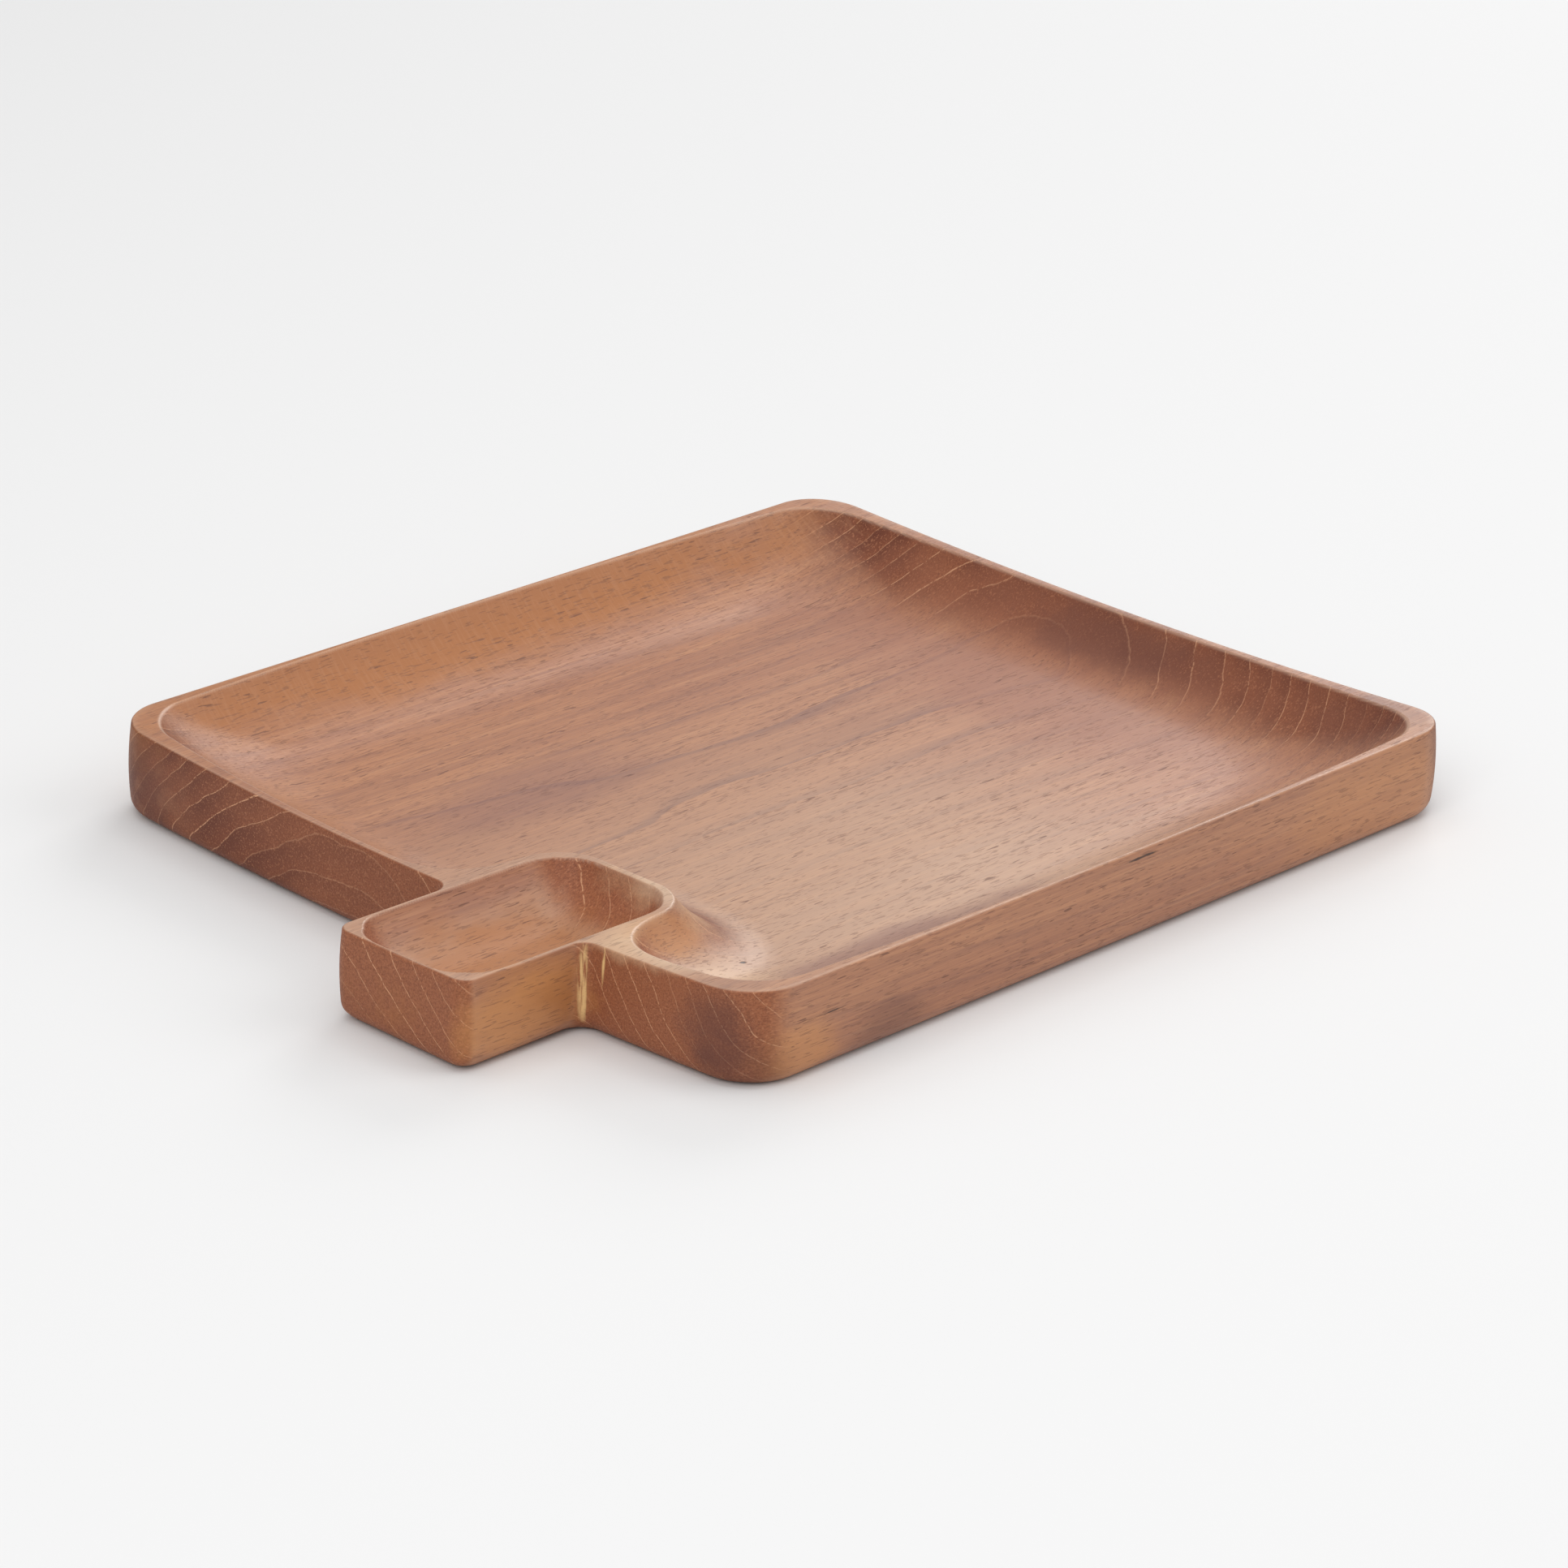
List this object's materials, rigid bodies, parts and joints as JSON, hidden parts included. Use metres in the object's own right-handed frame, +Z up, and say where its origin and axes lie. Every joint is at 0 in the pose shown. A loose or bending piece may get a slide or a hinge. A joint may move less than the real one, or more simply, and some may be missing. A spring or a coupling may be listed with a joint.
{
  "type": "serving tray",
  "caption": "Square teak serving tray with a shallow coved well and an off-centre stub handle that is scooped out as a small dip bowl.",
  "frame": {"origin": "middle of the footprint box, on the surface that the tray rests on", "axes": "+Z up; +Y along the wood grain, away from the handle, which points to -Y; +X to the side that the handle is nearer to"},
  "size_m": [0.234, 0.307, 0.025],
  "materials": {
    "teak": "hand-rubbed oil, satin"
  },
  "bodies": {
    "root": {"tray": "teak"}
  },
  "joints": []
}
